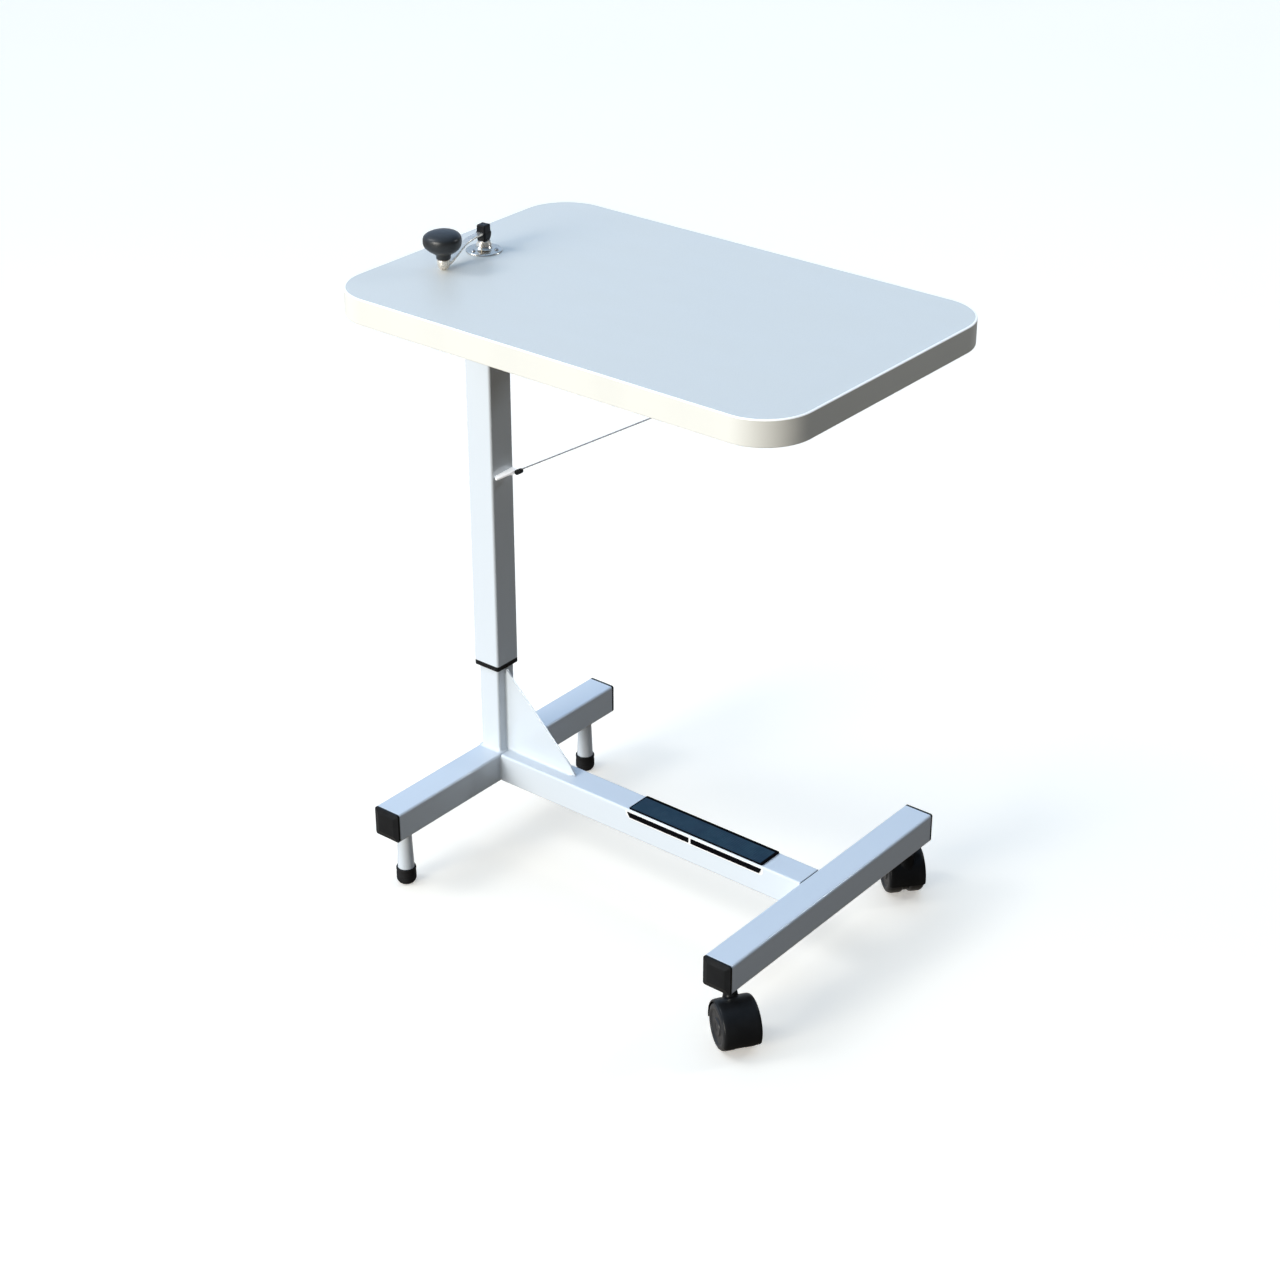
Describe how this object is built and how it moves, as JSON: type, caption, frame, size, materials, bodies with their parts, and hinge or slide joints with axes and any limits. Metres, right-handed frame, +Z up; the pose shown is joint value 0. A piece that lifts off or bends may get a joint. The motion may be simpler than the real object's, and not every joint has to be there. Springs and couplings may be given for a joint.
{
  "type": "overbed table",
  "caption": "Overbed table: laminate top on a crank-raised telescopic column, offset wheeled base with rubber feet at the column end.",
  "frame": {"origin": "on the floor under the centre of the table top, at its lowest height", "axes": "+Z up, +X from the column towards the free end of the top, +Y away from the side the crank handle lies on at rest"},
  "size_m": [0.612, 0.4454, 0.8045],
  "materials": {
    "white_paint": "smooth white powder coat, satin gloss",
    "black_plastic": "moulded black nylon or polypropylene, fine matt grain",
    "wheel_tread": "moulded black nylon wheel",
    "black_rubber": "matt black rubber",
    "foot_pad": "dark blue ribbed mat with a black border",
    "guide_nylon": "natural nylon",
    "brass": "turned brass",
    "board": "particle board",
    "laminate": "white high-pressure laminate, satin",
    "edge_band": "ivory edge band, satin",
    "chrome": "bright chrome plate",
    "steel": "turned bright steel",
    "zinc": "bright zinc plate"
  },
  "bodies": {
    "base": {"column_cross_tube": "white_paint", "base_rail": "white_paint", "wheel_cross_tube": "white_paint", "cap_column_front": "black_plastic", "cap_column_rear": "black_plastic", "cap_wheel_front": "black_plastic", "cap_wheel_rear": "black_plastic", "leg_front": "white_paint", "leg_rear": "white_paint", "ferrule_front": "black_rubber", "ferrule_rear": "black_rubber", "inner_column": "white_paint", "column_gusset": "white_paint", "foot_pad": "foot_pad", "rail_strip_front_a": "black_rubber", "rail_strip_front_b": "black_rubber", "rail_strip_rear_a": "black_rubber", "rail_strip_rear_b": "black_rubber", "column_guide": "guide_nylon", "lift_nut": "brass", "caster_socket_front": "black_plastic", "caster_socket_rear": "black_plastic"},
    "top": {"outer_column": "white_paint", "column_collar": "black_plastic", "mount_plate": "white_paint", "top_bearer": "white_paint", "free_end_bar": "white_paint", "bearer_cap": "black_plastic", "board_core": "board", "top_laminate": "laminate", "edge_band": "edge_band", "bearing_bush": "brass", "crank_escutcheon": "chrome", "escutcheon_screw_a": "steel", "escutcheon_screw_b": "steel", "escutcheon_screw_c": "steel", "screw_column_front": "zinc", "screw_column_rear": "zinc", "screw_free_front": "zinc", "screw_free_rear": "zinc", "stay_rod": "steel", "stay_sleeve": "black_plastic", "stay_bracket": "white_paint", "stay_eye": "white_paint"},
    "crank": {"lead_screw": "steel", "thrust_collar": "steel", "crank_hub": "black_plastic", "crank_arm": "chrome", "knob_stud": "steel"},
    "knob": {"crank_knob": "black_plastic"},
    "caster_front": {"caster_stem_front": "zinc", "caster_housing_front": "black_plastic", "caster_axle_front": "zinc"},
    "wheel_front_left": {"caster_wheel_front_left": "wheel_tread"},
    "wheel_front_right": {"caster_wheel_front_right": "wheel_tread"},
    "caster_rear": {"caster_stem_rear": "zinc", "caster_housing_rear": "black_plastic", "caster_axle_rear": "zinc"},
    "wheel_rear_left": {"caster_wheel_rear_left": "wheel_tread"},
    "wheel_rear_right": {"caster_wheel_rear_right": "wheel_tread"}
  },
  "joints": [
    {"name": "lift", "type": "slide", "parent": "base", "child": "top", "axis": [0, 0, 1], "range_m": [0, 0.3]},
    {"name": "crank_turn", "type": "hinge", "parent": "top", "child": "crank", "pos_m": [-0.2475, 0, 0.76], "axis": [0, 0, 1], "continuous": true},
    {"name": "knob_spin", "type": "hinge", "parent": "crank", "child": "knob", "pos_m": [-0.24089, -0.07401, 0.78], "axis": [0, 0, 1], "continuous": true},
    {"name": "caster_front_swivel", "type": "hinge", "parent": "base", "child": "caster_front", "pos_m": [0.2455, -0.174, 0.0755], "axis": [0, 0, 1], "continuous": true},
    {"name": "wheel_front_left_spin", "type": "hinge", "parent": "caster_front", "child": "wheel_front_left", "pos_m": [0.26042, -0.18407, 0.028], "axis": [0.5592, 0.829, 0], "continuous": true},
    {"name": "wheel_front_right_spin", "type": "hinge", "parent": "caster_front", "child": "wheel_front_right", "pos_m": [0.26042, -0.18407, 0.028], "axis": [0.5592, 0.829, 0], "continuous": true},
    {"name": "caster_rear_swivel", "type": "hinge", "parent": "base", "child": "caster_rear", "pos_m": [0.2455, 0.178, 0.0755], "axis": [0, 0, 1], "continuous": true},
    {"name": "wheel_rear_left_spin", "type": "hinge", "parent": "caster_rear", "child": "wheel_rear_left", "pos_m": [0.23192, 0.18981, 0.028], "axis": [-0.6561, -0.7547, 0], "continuous": true},
    {"name": "wheel_rear_right_spin", "type": "hinge", "parent": "caster_rear", "child": "wheel_rear_right", "pos_m": [0.23192, 0.18981, 0.028], "axis": [-0.6561, -0.7547, 0], "continuous": true}
  ],
  "couplings": [
    {"joint": "crank_turn", "follows": "lift", "rad_per_m": 314.16}
  ]
}
